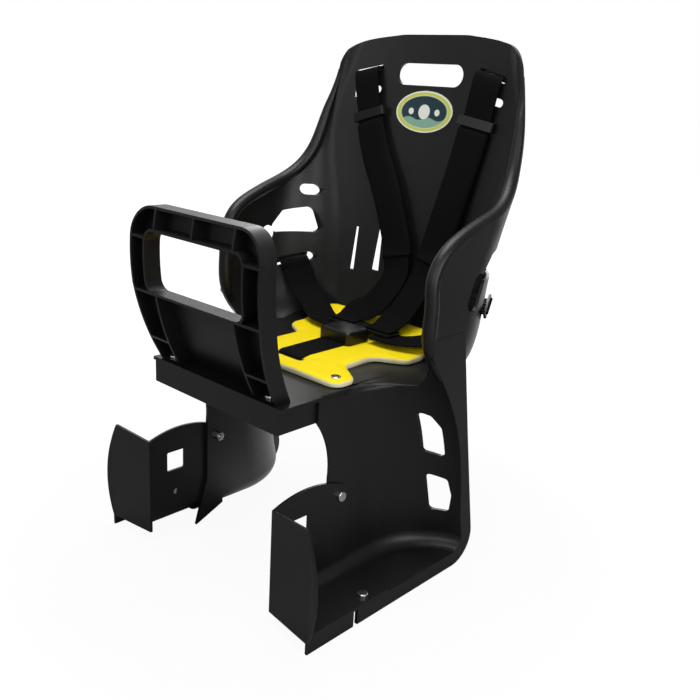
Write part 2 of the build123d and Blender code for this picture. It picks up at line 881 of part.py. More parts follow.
# Shoulder webs
with BuildPart() as left_shoulder_strap:
    add(web_form(left_shoulder, web_width, web_thickness))
left_shoulder_strap.part.label = "left_shoulder_strap"
export_step(left_shoulder_strap.part, "parts/left_shoulder_strap.step")

with BuildPart() as right_shoulder_strap:
    add(web_form(right_shoulder, web_width, web_thickness))
right_shoulder_strap.part.label = "right_shoulder_strap"
export_step(right_shoulder_strap.part, "parts/right_shoulder_strap.step")

# Padded sleeves on the shoulder webs
left_run = left_shoulder[4:9]
right_run = right_shoulder[4:9]
sleeve_bore_width = web_width + 2 * web_gap
sleeve_bore_thickness = web_thickness + 2 * web_gap
with BuildPart() as left_sleeve:
    add(web_form(left_run, sleeve_width, sleeve_thickness))
    add(web_form(left_run, sleeve_bore_width, sleeve_bore_thickness), mode=Mode.SUBTRACT)
left_sleeve.part.label = "left_sleeve"
export_step(left_sleeve.part, "parts/left_sleeve.step")

with BuildPart() as right_sleeve:
    add(web_form(right_run, sleeve_width, sleeve_thickness))
    add(web_form(right_run, sleeve_bore_width, sleeve_bore_thickness), mode=Mode.SUBTRACT)
right_sleeve.part.label = "right_sleeve"
export_step(right_sleeve.part, "parts/right_sleeve.step")


def web_bar(plane, width, height, thickness):
    """Bar round a web, on the plane across it."""
    with BuildPart() as bar:
        with BuildSketch(plane):
            RectangleRounded(width, height, height * 0.3)
            Rectangle(sleeve_bore_width, sleeve_bore_thickness, mode=Mode.SUBTRACT)
        extrude(amount=thickness / 2, both=True)
    return bar.part


def between(route, first, share):
    """Plane across a web on its straight run after a station."""
    start = in_frame(route[first][0])
    end = in_frame(route[first + 1][0])
    along = (end - start).normalized()
    side = Vector(*route[first][1])
    return Plane(origin=start + (end - start) * share, x_dir=side - along * side.dot(along), z_dir=along)


# Adjusters above the sleeves
with BuildPart() as left_adjuster:
    add(web_bar(between(left_shoulder_route, 3, 0.45), adjuster_width, adjuster_thickness, adjuster_length))
left_adjuster.part.label = "left_adjuster"
export_step(left_adjuster.part, "parts/left_adjuster.step")

with BuildPart() as right_adjuster:
    add(web_bar(between(right_shoulder_route, 3, 0.45), adjuster_width, adjuster_thickness, adjuster_length))
right_adjuster.part.label = "right_adjuster"
export_step(right_adjuster.part, "parts/right_adjuster.step")

# Lap webs
with BuildPart() as left_lap_strap:
    add(web_form(left_lap, web_width, web_thickness))
left_lap_strap.part.label = "left_lap_strap"
export_step(left_lap_strap.part, "parts/left_lap_strap.step")

with BuildPart() as right_lap_strap:
    add(left_lap_strap.part.mirror(side_plane))
right_lap_strap.part.label = "right_lap_strap"
export_step(right_lap_strap.part, "parts/right_lap_strap.step")

# Crotch web
with BuildPart() as crotch_strap:
    add(web_form(crotch, web_width, web_thickness))
crotch_strap.part.label = "crotch_strap"
export_step(crotch_strap.part, "parts/crotch_strap.step")

# Bars that stop the ends of the webs outside the shell
with BuildPart() as shoulder_stops:
    add(web_bar(between(left_shoulder_route, 0, 0.55), stop_width, stop_height, stop_thickness))
    add(web_bar(between(right_shoulder_route, 0, 0.55), stop_width, stop_height, stop_thickness))
shoulder_stops.part.label = "shoulder_stops"
export_step(shoulder_stops.part, "parts/shoulder_stops.step")

lap_stop = web_bar(between(left_lap_route, 7, 0.45), stop_width, stop_height, stop_thickness)
with BuildPart() as lap_stops:
    add(lap_stop)
    add(lap_stop.mirror(side_plane))
lap_stops.part.label = "lap_stops"
export_step(lap_stops.part, "parts/lap_stops.step")

with BuildPart() as crotch_stop:
    add(web_bar(between(crotch_route, 6, 0.55), stop_width, stop_height, stop_thickness))
crotch_stop.part.label = "crotch_stop"
export_step(crotch_stop.part, "parts/crotch_stop.step")

# Buckle: a socket on the crotch web, and a tongue that carries the other webs
buckle_front = buckle_y - buckle_length / 2
with BuildPart() as buckle_socket:
    with BuildSketch(plan_plane.offset(pad_top + seat_gap)):
        with Locations((0, buckle_y)):
            RectangleRounded(buckle_width, buckle_length, buckle_round)
    extrude(amount=buckle_height)
    fillet(buckle_socket.faces().sort_by(Axis.Z)[-1].edges(), 4)
    with BuildSketch(front_plane.offset(-buckle_front)):
        with Locations((0, pad_top + 3.4)):
            Rectangle(sleeve_bore_width, sleeve_bore_thickness)
    extrude(amount=-10, mode=Mode.SUBTRACT)
    with BuildSketch(front_plane.offset(-buckle_y - buckle_length / 2)):
        with Locations((0, tongue_z + tongue_thickness / 2)):
            Rectangle(blade_width + 2 * seat_gap, tongue_thickness + 2 * seat_gap)
    extrude(amount=blade_length, mode=Mode.SUBTRACT)
buckle_socket.part.label = "buckle_socket"
export_step(buckle_socket.part, "parts/buckle_socket.step")

with BuildPart() as buckle_tongue:
    with BuildSketch(plan_plane.offset(tongue_z)):
        with Locations((0, tongue_y + tongue_depth / 2)):
            RectangleRounded(tongue_width, tongue_depth, 6)
        with Locations((0, tongue_y + 6 - blade_length / 2)):
            Rectangle(blade_width, blade_length)
    extrude(amount=tongue_thickness)
buckle_tongue.part.label = "buckle_tongue"
export_step(buckle_tongue.part, "parts/buckle_tongue.step")

# Oval label on the back
label_back = bucket_form(pan_top, shell_top + 30, -60, shell_wall + label_gap)
label_space = bucket_form(pan_top, shell_top + 30, -60, shell_wall + label_gap + label_thickness)
with BuildPart() as oval_label:
    add(label_back)
    add(label_space, mode=Mode.SUBTRACT)
    with BuildSketch(front_plane.offset(-250)):
        with Locations((0, label_z)):
            Ellipse(label_width / 2, label_height / 2)
    extrude(amount=-200, mode=Mode.INTERSECT)
oval_label.part.label = "oval_label"
export_step(oval_label.part, "parts/oval_label.step")


def bolt_form(plane, grip):
    """Bolt with its head on a plane and its shank running back through a grip and a nut."""
    with BuildPart() as bolt:
        with BuildSketch(plane.offset(clamp_gap)):
            Circle(bolt_head_radius)
        extrude(amount=bolt_head_height)
        fillet(bolt.edges().filter_by(GeomType.CIRCLE).sort_by_distance(plane.origin)[-1], 1.2)
        with BuildSketch(plane.offset(clamp_gap)):
            Circle(bolt_radius)
        extrude(amount=-grip - nut_height - bolt_tail)
    return bolt.part


def nut_form(plane, grip):
    """Nut on the far side of a grip."""
    with BuildPart() as nut:
        with BuildSketch(plane.offset(-grip - clamp_gap)):
            RegularPolygon(nut_flats / 2, 6, major_radius=False)
            Circle(nut_bore_radius, mode=Mode.SUBTRACT)
        extrude(amount=-nut_height)
    return nut.part


# Fasteners of the foot rests and of the guard
wall_place = in_frame((tray_face + foot_wall, wall_bolt_y, wall_bolt_z))
wall_seat = Plane(wall_place, x_dir=(0, 1, 0), z_dir=(1, 0, 0))
sole_seat = Plane(in_frame((sole_bolt_x, sole_bolt_y, tray_floor + foot_wall)))
guard_seat = Plane(in_frame((guard_bolt_x, guard_bolt_y, guard_foot + rib_wall)))
foot_grip = foot_wall + seat_gap + shell_wall
guard_grip = rib_wall + seat_gap + shell_wall
wall_bolt = bolt_form(wall_seat, foot_grip)
sole_bolt = bolt_form(sole_seat, foot_grip)
guard_bolt = bolt_form(guard_seat, guard_grip)
wall_nut = nut_form(wall_seat, foot_grip)
sole_nut = nut_form(sole_seat, foot_grip)
guard_nut = nut_form(guard_seat, guard_grip)

with BuildPart() as footrest_bolts:
    add(wall_bolt)
    add(sole_bolt)
    add(wall_bolt.mirror(side_plane))
    add(sole_bolt.mirror(side_plane))
footrest_bolts.part.label = "footrest_bolts"
export_step(footrest_bolts.part, "parts/footrest_bolts.step")

with BuildPart() as footrest_nuts:
    add(wall_nut)
    add(sole_nut)
    add(wall_nut.mirror(side_plane))
    add(sole_nut.mirror(side_plane))
footrest_nuts.part.label = "footrest_nuts"
export_step(footrest_nuts.part, "parts/footrest_nuts.step")

with BuildPart() as guard_bolts:
    add(guard_bolt)
    add(guard_bolt.mirror(side_plane))
guard_bolts.part.label = "guard_bolts"
export_step(guard_bolts.part, "parts/guard_bolts.step")

with BuildPart() as guard_nuts:
    add(guard_nut)
    add(guard_nut.mirror(side_plane))
guard_nuts.part.label = "guard_nuts"
export_step(guard_nuts.part, "parts/guard_nuts.step")
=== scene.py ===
# %% [markdown]
# # A child bike seat
# The seat hangs over a bicycle's rear wheel. One black moulding is the bucket, the ledge and both leg
# guards. A ribbed guard, two foot rests, a yellow pad and a harness are fixed to it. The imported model
# gives every piece its size and place, and this lesson dresses it: rounded edges, cloth, webbing,
# a printed label and a small studio round it all.

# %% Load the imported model
from math import cos, pi, radians, sin

import bpy
from mathutils import Matrix, Vector


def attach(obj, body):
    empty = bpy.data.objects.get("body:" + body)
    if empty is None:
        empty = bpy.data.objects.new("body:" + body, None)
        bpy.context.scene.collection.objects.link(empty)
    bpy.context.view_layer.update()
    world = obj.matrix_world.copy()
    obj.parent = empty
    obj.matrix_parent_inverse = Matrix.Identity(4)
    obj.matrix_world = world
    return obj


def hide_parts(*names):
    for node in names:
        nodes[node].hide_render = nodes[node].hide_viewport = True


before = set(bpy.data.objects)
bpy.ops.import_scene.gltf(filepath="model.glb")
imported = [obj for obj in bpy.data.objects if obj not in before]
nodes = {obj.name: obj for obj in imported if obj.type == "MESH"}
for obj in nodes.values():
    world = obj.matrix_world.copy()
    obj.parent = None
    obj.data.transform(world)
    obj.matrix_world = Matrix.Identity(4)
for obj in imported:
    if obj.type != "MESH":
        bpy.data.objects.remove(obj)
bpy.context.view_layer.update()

# %% [markdown]
# ## The camera
# The photograph was taken from the seat's front left, a little above it, with the camera tipped a few
# degrees to one side. The same eye point, turn, dip and tip put every edge where the photograph has it.

# %% Place the camera
turn, dip, tip = radians(42.0), radians(17.7), radians(3.4)
ahead = Vector((-sin(turn) * cos(dip), cos(turn) * cos(dip), -sin(dip)))
level = Vector((cos(turn), sin(turn), 0))
above = level.cross(ahead)
right = level * cos(tip) + above * sin(tip)
up = above * cos(tip) - level * sin(tip)
bpy.ops.object.camera_add(location=(0.6651, -0.6811, 0.5489))
camera = bpy.context.object
camera.rotation_euler = Matrix((right, up, -ahead)).transposed().to_euler()
camera.data.sensor_width = 36
camera.data.lens = 42.8
camera.data.clip_start = 0.05
bpy.context.scene.camera = camera
bpy.context.scene.view_settings.view_transform = "Standard"
print("camera lens", camera.data.lens)

# %% [markdown]
# ## The studio
# Black plastic shows its form only by what it reflects. A white sweep stands behind the seat, in a dim
# room, and draws the edges that turn away. It could be a bent sheet. Here it is part of the world's light,
# which needs no mesh: the camera sees white all round, and glossy rays see white only towards the sweep.

# %% Light the room
sweep_heading = (-0.67, 0.74, 0.0)
room_light = 0.18
scene_world = bpy.data.worlds.new("studio")
bpy.context.scene.world = scene_world
scene_world.use_nodes = True
tree = scene_world.node_tree


def sum_node(tree, operation, first, second=0.0):
    """Math node on two sockets, or on a socket and a number."""
    node = tree.nodes.new("ShaderNodeMath")
    node.operation = operation
    for index, value in enumerate((first, second)):
        if isinstance(value, (int, float)):
            node.inputs[index].default_value = value
        else:
            tree.links.new(value, node.inputs[index])
    return node.outputs[0]


def between(tree, mask, low, high, start=0.0, end=1.0):
    """Number that goes from low to high as a mask goes from its start to its end."""
    node = tree.nodes.new("ShaderNodeMapRange")
    node.interpolation_type = "SMOOTHSTEP"
    node.inputs["From Min"].default_value = start
    node.inputs["From Max"].default_value = end
    node.inputs["To Min"].default_value = low
    node.inputs["To Max"].default_value = high
    tree.links.new(mask, node.inputs["Value"])
    return node.outputs["Result"]


path = tree.nodes.new("ShaderNodeLightPath")
heading = tree.nodes.new("ShaderNodeTexCoord")
behind = tree.nodes.new("ShaderNodeVectorMath")
behind.operation = "DOT_PRODUCT"
behind.inputs[1].default_value = sweep_heading
tree.links.new(heading.outputs["Generated"], behind.inputs[0])
sweep = between(tree, behind.outputs["Value"], 0.0, 1.0, 0.1, 0.8)
mirrored = sum_node(tree, "MULTIPLY", path.outputs["Is Glossy Ray"], sweep)
seen = sum_node(tree, "MAXIMUM", path.outputs["Is Camera Ray"], path.outputs["Is Transmission Ray"])
strength = between(tree, sum_node(tree, "MAXIMUM", seen, mirrored), room_light, 1.0)
tree.nodes["Background"].inputs["Color"].default_value = (1, 1, 1, 1)
tree.links.new(strength, tree.nodes["Background"].inputs["Strength"])
print("room light", room_light)

# %% [markdown]
# ## The soft boxes
# Five square lamps stand round the seat. The key and the overhead box draw the rims, the side box draws the
# inside of the far wing, the wing box draws the front of both wings, and the back box keeps the rear from
# going black. A square lamp of about the seat's own size gives soft edges, which a small lamp can't.


# %% Place the soft boxes
def soft_box(name, place, aim, size, power):
    """Square area lamp that faces a point."""
    bpy.ops.object.light_add(type="AREA", location=place)
    lamp = bpy.context.object
    lamp.name = name
    lamp.data.size = size
    lamp.data.energy = power
    lamp.rotation_euler = (Vector(aim) - Vector(place)).to_track_quat("-Z", "Y").to_euler()
    print(name, power, "W")


soft_box("key_box", (0.9, -1.4, 1.0), (0, -0.05, 0.35), 0.9, 7)
soft_box("overhead_box", (0.0, -0.12, 1.7), (0, -0.02, 0.3), 1.1, 21)
soft_box("side_box", (1.6, -0.3, 0.75), (0, 0, 0.4), 0.9, 10)
soft_box("wing_box", (-0.5, -1.38, 0.85), (-0.05, 0.15, 0.48), 0.5, 2.4)
soft_box("back_box", (-1.2, 1.6, 1.2), (0, 0.1, 0.35), 0.9, 16)

# %% [markdown]
# ## The floor
# The floor is one wide plane. For the camera it glows white, a little less close to the seat, where the lit
# surface shows through and keeps the shadow. Glossy rays see the glow only towards the sweep, as above.

# %% Lay the floor
bpy.ops.mesh.primitive_plane_add(size=12, location=(0, 0, -0.0005))
floor = bpy.context.object
floor.name = "studio_floor"
pale = bpy.data.materials.new("pale_floor")
pale.use_nodes = True
tree = pale.node_tree
ground = tree.nodes["Principled BSDF"]
ground.inputs["Base Color"].default_value = (0.25, 0.25, 0.245, 1)
ground.inputs["Roughness"].default_value = 0.9
glow = tree.nodes.new("ShaderNodeEmission")
glow.inputs["Strength"].default_value = 1.12
mix = tree.nodes.new("ShaderNodeMixShader")
path = tree.nodes.new("ShaderNodeLightPath")
spot = tree.nodes.new("ShaderNodeTexCoord")
away = tree.nodes.new("ShaderNodeVectorMath")
away.operation = "LENGTH"
tree.links.new(spot.outputs["Object"], away.inputs[0])
fade = between(tree, away.outputs["Value"], 0.84, 1.0, 0.3, 0.75)
behind = tree.nodes.new("ShaderNodeVectorMath")
behind.operation = "DOT_PRODUCT"
behind.inputs[1].default_value = sweep_heading
outward = tree.nodes.new("ShaderNodeVectorMath")
outward.operation = "NORMALIZE"
tree.links.new(spot.outputs["Object"], outward.inputs[0])
tree.links.new(outward.outputs["Vector"], behind.inputs[0])
sweep = between(tree, behind.outputs["Value"], 0.0, 1.0, 0.2, 0.8)
mirrored = sum_node(tree, "MULTIPLY", path.outputs["Is Glossy Ray"], sweep)
seen = sum_node(tree, "MAXIMUM", path.outputs["Is Camera Ray"], path.outputs["Is Transmission Ray"])
seen = sum_node(tree, "MAXIMUM", seen, mirrored)
tree.links.new(sum_node(tree, "MULTIPLY", seen, fade), mix.inputs["Fac"])
tree.links.new(ground.outputs[0], mix.inputs[1])
tree.links.new(glow.outputs[0], mix.inputs[2])
tree.links.new(mix.outputs[0], tree.nodes["Material Output"].inputs["Surface"])
floor.data.materials.append(pale)
print("floor laid:", floor.name)

# %% [markdown]
# ## Shared effects
# Three effects serve several finishes, so each is a node group. Mould grain is the fine pebble that a
# spark-eroded tool leaves on black plastic. Wear is the patchy dulling that hands and boxes leave. Weave
# is the over-and-under of threads, drawn on a piece's own UV map so that it follows the webbing.


# %% Make the grain group
def effect_group(name, inputs, outputs):
    """Empty shader node group with float inputs and outputs, and its two end nodes."""
    group = bpy.data.node_groups.new(name, "ShaderNodeTree")
    for socket, value in inputs:
        made = group.interface.new_socket(socket, in_out="INPUT", socket_type="NodeSocketFloat")
        made.default_value = value
    for socket in outputs:
        group.interface.new_socket(socket, in_out="OUTPUT", socket_type="NodeSocketFloat")
    return group, group.nodes.new("NodeGroupInput"), group.nodes.new("NodeGroupOutput")


grain, grain_in, grain_out = effect_group("mould_grain", [("Scale", 900.0)], ["Height", "Shade"])
place = grain.nodes.new("ShaderNodeTexCoord")
pebble = grain.nodes.new("ShaderNodeTexVoronoi")
pebble.feature = "SMOOTH_F1"
grain.links.new(place.outputs["Object"], pebble.inputs["Vector"])
grain.links.new(grain_in.outputs["Scale"], pebble.inputs["Scale"])
flow = grain.nodes.new("ShaderNodeTexNoise")
flow.inputs["Scale"].default_value = 14.0
flow.inputs["Detail"].default_value = 4.0
grain.links.new(place.outputs["Object"], flow.inputs["Vector"])
grain.links.new(pebble.outputs["Distance"], grain_out.inputs["Height"])
grain.links.new(flow.outputs["Fac"], grain_out.inputs["Shade"])

# %% Make the wear group
wear, wear_in, wear_out = effect_group("handling_wear", [("Scale", 40.0), ("Amount", 0.55)], ["Mask"])
place = wear.nodes.new("ShaderNodeTexCoord")
stretch = wear.nodes.new("ShaderNodeMapping")
stretch.inputs["Rotation"].default_value = (0.3, 0.5, 0.2)
stretch.inputs["Scale"].default_value = (1.0, 1.0, 0.25)
wear.links.new(place.outputs["Object"], stretch.inputs["Vector"])
rub = wear.nodes.new("ShaderNodeTexNoise")
rub.inputs["Detail"].default_value = 8.0
rub.inputs["Roughness"].default_value = 0.7
wear.links.new(stretch.outputs["Vector"], rub.inputs["Vector"])
wear.links.new(wear_in.outputs["Scale"], rub.inputs["Scale"])
edge = wear.nodes.new("ShaderNodeMapRange")
edge.interpolation_type = "SMOOTHSTEP"
edge.inputs["From Max"].default_value = 0.8
wear.links.new(rub.outputs["Fac"], edge.inputs["Value"])
wear.links.new(wear_in.outputs["Amount"], edge.inputs["From Min"])
wear.links.new(edge.outputs["Result"], wear_out.inputs["Mask"])

# %% Make the weave group
weave, weave_in, weave_out = effect_group("thread_weave", [("Across", 24.0), ("Along", 60.0)], ["Height"])
place = weave.nodes.new("ShaderNodeUVMap")
split = weave.nodes.new("ShaderNodeSeparateXYZ")
weave.links.new(place.outputs["UV"], split.inputs["Vector"])
cross_turns = sum_node(weave, "MULTIPLY", split.outputs["X"], weave_in.outputs["Across"])
along_turns = sum_node(weave, "MULTIPLY", split.outputs["Y"], weave_in.outputs["Along"])
warp = sum_node(weave, "SINE", sum_node(weave, "MULTIPLY", cross_turns, 2 * pi))
row = sum_node(weave, "SINE", sum_node(weave, "MULTIPLY", along_turns, 2 * pi))
lift = sum_node(weave, "MULTIPLY", sum_node(weave, "MULTIPLY", warp, row), 0.5)
weave.links.new(sum_node(weave, "ADD", lift, 0.5), weave_out.inputs["Height"])
print("effect groups:", [group.name for group in bpy.data.node_groups])

# %% [markdown]
# ## The plastic finishes
# Every finish is one Principled shader in its own material, with the groups above feeding its colour,
# roughness and bump. The shell is black polypropylene with a dull grain. The buckle and the bars of the
# harness are nylon, which is smoother and a little glossier.


# %% Make the plastic finishes
def new_finish(name, roughness):
    """Material with a Principled shader."""
    material = bpy.data.materials.new(name)
    material.use_nodes = True
    shader = material.node_tree.nodes["Principled BSDF"]
    shader.inputs["Roughness"].default_value = roughness
    return material, material.node_tree, shader


def place_group(tree, group, **values):
    """Group node with its inputs set."""
    node = tree.nodes.new("ShaderNodeGroup")
    node.node_tree = group
    for socket, value in values.items():
        node.inputs[socket].default_value = value
    return node


def two_colours(tree, mask, first, second):
    """Colour that goes from the first to the second by a mask."""
    node = tree.nodes.new("ShaderNodeMix")
    node.data_type = "RGBA"
    node.inputs["A"].default_value = (*first, 1)
    node.inputs["B"].default_value = (*second, 1)
    tree.links.new(mask, node.inputs["Factor"])
    return node.outputs["Result"]


def bump(tree, shader, height, depth, strength):
    """Bump on a shader's normal."""
    node = tree.nodes.new("ShaderNodeBump")
    node.inputs["Distance"].default_value = depth
    node.inputs["Strength"].default_value = strength
    tree.links.new(height, node.inputs["Height"])
    tree.links.new(node.outputs["Normal"], shader.inputs["Normal"])


def moulded_plastic(name, dark, light, rough_low, rough_high, pebble_scale, depth):
    """Grained plastic whose colour and gloss drift a little over the surface."""
    material, tree, shader = new_finish(name, rough_low)
    shader.inputs["Specular IOR Level"].default_value = 0.4
    skin = place_group(tree, grain, Scale=pebble_scale)
    rubbed = place_group(tree, wear, Scale=30.0, Amount=0.52)
    drift = sum_node(tree, "MULTIPLY", skin.outputs["Shade"], 0.6)
    tone = sum_node(tree, "ADD", drift, sum_node(tree, "MULTIPLY", rubbed.outputs["Mask"], 0.4))
    tree.links.new(two_colours(tree, tone, dark, light), shader.inputs["Base Color"])
    tree.links.new(between(tree, tone, rough_low, rough_high), shader.inputs["Roughness"])
    bump(tree, shader, skin.outputs["Height"], depth, 0.35)
    return material


shell_finish = moulded_plastic(
    "black_shell", (0.004, 0.004, 0.0042), (0.0095, 0.0095, 0.0098), 0.36, 0.5, 900.0, 0.00008)
nylon_finish = moulded_plastic(
    "black_nylon", (0.003, 0.003, 0.0032), (0.008, 0.008, 0.0083), 0.3, 0.42, 1500.0, 0.00005)
print("plastics:", shell_finish.name, nylon_finish.name)

# %% [markdown]
# ## The metal finish
# Bolts, nuts and snaps are zinc plated. The plate is a bright metal that hands and tools dull in patches, so
# the wear group drives both its colour and its roughness.

# %% Make the metal finish
zinc_finish, tree, shader = new_finish("zinc_plate", 0.3)
shader.inputs["Metallic"].default_value = 1.0
rubbed = place_group(tree, wear, Scale=300.0, Amount=0.4)
plate = two_colours(tree, rubbed.outputs["Mask"], (0.72, 0.72, 0.7), (0.5, 0.5, 0.5))
tree.links.new(plate, shader.inputs["Base Color"])
tree.links.new(between(tree, rubbed.outputs["Mask"], 0.22, 0.45), shader.inputs["Roughness"])
print("metal:", zinc_finish.name)

# %% [markdown]
# ## The cloth finishes
# Webbing and sleeves are woven black polyester. The weave is counted in threads across and rows along each
# piece, so a long web and a short one need their own row counts to show threads of the same size.


# %% Make the cloth finishes
def woven_cloth(name, dark, light, across, along, depth):
    """Cloth with a weave on its UV map."""
    material, tree, shader = new_finish(name, 0.85)
    shader.inputs["Specular IOR Level"].default_value = 0.08
    threads = place_group(tree, weave, Across=across, Along=along)
    tree.links.new(two_colours(tree, threads.outputs["Height"], dark, light), shader.inputs["Base Color"])
    tree.links.new(between(tree, threads.outputs["Height"], 0.9, 0.72), shader.inputs["Roughness"])
    bump(tree, shader, threads.outputs["Height"], depth, 0.6)
    return material


web_dark, web_light = (0.0012, 0.0012, 0.0014), (0.004, 0.004, 0.0043)
sleeve_dark, sleeve_light = (0.0015, 0.0015, 0.0017), (0.0045, 0.0045, 0.0048)
shoulder_webbing = woven_cloth("shoulder_webbing", web_dark, web_light, 19, 170, 0.0004)
lap_webbing = woven_cloth("lap_webbing", web_dark, web_light, 19, 90, 0.0004)
crotch_webbing = woven_cloth("crotch_webbing", web_dark, web_light, 19, 45, 0.0004)
sleeve_cloth = woven_cloth("sleeve_cloth", sleeve_dark, sleeve_light, 90, 150, 0.0003)
print("cloths made")

# %% [markdown]
# ## Moulded pieces with rounded edges
# No moulding has a knife edge: the tool's corners are rounded so that the plastic fills them. A bright
# line of light along each rim is what makes black plastic readable. Each rigid node's mesh is copied and
# merged, its flat faces are joined again, and a narrow bevel rounds every sharp edge.


# %% Copy a node and round its edges
def only(piece):
    """Select one object and make it active."""
    bpy.ops.object.select_all(action="DESELECT")
    piece.select_set(True)
    bpy.context.view_layer.objects.active = piece


def rounded_copy(node, name, width, segments, finish, shape=None, ease=None):
    """Copy of a node's mesh with bevelled edges, in the node's place."""
    piece = bpy.data.objects.new(name, nodes[node].data.copy())
    bpy.context.scene.collection.objects.link(piece)
    only(piece)
    bpy.ops.object.mode_set(mode="EDIT")
    bpy.ops.mesh.select_all(action="SELECT")
    bpy.ops.mesh.customdata_custom_splitnormals_clear()
    bpy.ops.mesh.remove_doubles(threshold=0.00001)
    bpy.ops.mesh.dissolve_limited(angle_limit=radians(0.4))
    bpy.ops.object.mode_set(mode="OBJECT")
    if shape:
        shape(piece)
    rounding = piece.modifiers.new("rounding", "BEVEL")
    rounding.width = width
    rounding.segments = segments
    rounding.limit_method = "ANGLE"
    rounding.angle_limit = radians(38)
    bpy.ops.object.modifier_apply(modifier="rounding")
    if ease:
        ease(piece)
    bpy.ops.object.shade_smooth_by_angle(angle=radians(40))
    flats = piece.modifiers.new("flats", "WEIGHTED_NORMAL")
    flats.keep_sharp = True
    bpy.ops.object.modifier_apply(modifier="flats")
    piece.data.materials.clear()
    piece.data.materials.append(finish)
    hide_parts(node)
    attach(piece, "root")
    print(name, "faces", len(piece.data.polygons))


# %% [markdown]
# ## The pan's lip
# Above each leg the pan rolls down into the leg guard with a much larger round than elsewhere, and the round
# dies away at both ends. A second bevel makes it. The edges are cut into short lengths, and each length gets
# a weight, which is the share of the full round that it takes.


# %% Roll the pan's lip
def roll_lip(piece):
    """Round the pan's lip above each leg, where the moulding rolls down into the leg guard."""
    pan_height, lip_side, lip_start, lip_end = 0.239, 0.107, -0.1, 0.006
    lip_round, run_out, least_full, close = 0.009, 0.028, 0.1, 0.0005
    bpy.ops.object.mode_set(mode="EDIT")
    for step in range(4):
        bpy.ops.mesh.select_all(action="SELECT")
        bpy.ops.mesh.bisect(plane_co=(0, lip_start + step * run_out / 4, 0), plane_no=(0, 1, 0))
    bpy.ops.object.mode_set(mode="OBJECT")
    mesh = piece.data
    slopes = {}
    for face in mesh.polygons:
        for key in face.edge_keys:
            slopes.setdefault(key, []).append(face.normal.z)
    fullness = mesh.attributes.new("bevel_weight_edge", "FLOAT", "EDGE")
    for edge in mesh.edges:
        ends = [mesh.vertices[index].co for index in edge.vertices]
        level = all(abs(end.z - pan_height) < close for end in ends)
        beside = all(abs(end.x) > lip_side and end.y > lip_start - close for end in ends)
        tilt = sorted(slopes[tuple(sorted(edge.vertices))])
        if level and beside and tilt[0] < 0.5 < tilt[-1]:
            middle = (ends[0].y + ends[1].y) / 2
            rear_full = max(least_full, (lip_end - middle) / run_out)
            fullness.data[edge.index].value = min(1.0, (middle - lip_start) / run_out, rear_full)
    print("lip edges", sum(value.value > 0 for value in fullness.data))
    lip = piece.modifiers.new("lip", "BEVEL")
    lip.width = lip_round
    lip.segments = 6
    lip.limit_method = "WEIGHT"
    lip.use_clamp_overlap = False
    bpy.ops.object.modifier_apply(modifier="lip")


# %% [markdown]
# ## The ends of the rolled rims
# A round rim runs up the front of each wing and dies away at the top. The points of its last stretch are
# drawn back towards the wing's front edge and side, more and more up to its end, so that no step is left.


# %% Fade the rims
def fade_rims(piece):
    """Let the top end of each rolled rim run out into the wing's front edge."""
    fade_start, fade_end, rim_side = 0.515, 0.5682, 0.135
    edge_height, edge_depth, edge_side = 0.55, 0.1597, 0.147
    edge_lean, edge_curve, side_lean, most_faded = 0.104, 1.274, 0.24, 0.9
    eased = 0
    for vertex in piece.data.vertices:
        spot = vertex.co
        rise = spot.z - edge_height
        wing_edge = edge_depth + edge_lean * rise - edge_curve * rise * rise
        wing_side = edge_side - side_lean * rise
        if fade_start < spot.z < fade_end and abs(spot.x) > rim_side and spot.y < wing_edge:
            share = (spot.z - fade_start) / (fade_end - fade_start)
            stay = 1 - most_faded * share * share * (3 - 2 * share)
            spot.y = wing_edge + (spot.y - wing_edge) * stay
            if abs(spot.x) > wing_side:
                spot.x *= (wing_side + (abs(spot.x) - wing_side) * stay) / abs(spot.x)
            eased += 1
    print("rim points eased", eased)


# %% [markdown]
# ## All the rigid pieces
# The same rounding serves every rigid piece, with a width that suits its size: large on the shell, small on
# the buckle and the bars, and a hair's breadth on bolts and snaps.

# %% Round the rigid pieces
rounded_copy("seat_shell", "bucket_moulding", 0.0013, 3, shell_finish, roll_lip, fade_rims)
rounded_copy("front_guard", "grab_guard", 0.0008, 2, shell_finish)
rounded_copy("left_footrest", "left_foot_tray", 0.0008, 2, shell_finish)
rounded_copy("right_footrest", "right_foot_tray", 0.0008, 2, shell_finish)
rounded_copy("buckle_socket", "buckle_body", 0.0008, 2, nylon_finish)
rounded_copy("buckle_tongue", "buckle_plate", 0.0006, 2, nylon_finish)
for node in ("left_adjuster", "right_adjuster", "shoulder_stops", "lap_stops", "crotch_stop"):
    rounded_copy(node, node + "_moulding", 0.0006, 2, nylon_finish)
for node in ("pad_snaps", "footrest_bolts", "footrest_nuts", "guard_bolts", "guard_nuts"):
    rounded_copy(node, node + "_plated", 0.0003, 2, zinc_finish)

# %% [markdown]
# ## The webs of the harness
# Webbing is a flat band that bends easily along its length and hardly at all across its width. A grid is
# laid along each web's route, turned so that its width lies across the route, given its thickness and
# rounded once, which makes the soft selvedge. The grid's own UV map carries the weave.


# %% Follow a route
def on_line(points, share):
    """Point on a smooth line through points, at a share of the way by index."""
    spot = share * (len(points) - 1)
    index = min(int(spot), len(points) - 2)
    t = spot - index
    first, start, end, last = (points[min(max(index + k, 0), len(points) - 1)] for k in (-1, 0, 1, 2))
    return 0.5 * (2 * start + (end - first) * t + (2 * first - 5 * start + 4 * end - last) * t * t
                  + (3 * start - first - 3 * end + last) * t * t * t)


# Routes are in millimetres, and their depth is counted from the front of the ledge.
ledge_depth_mm = 158.8


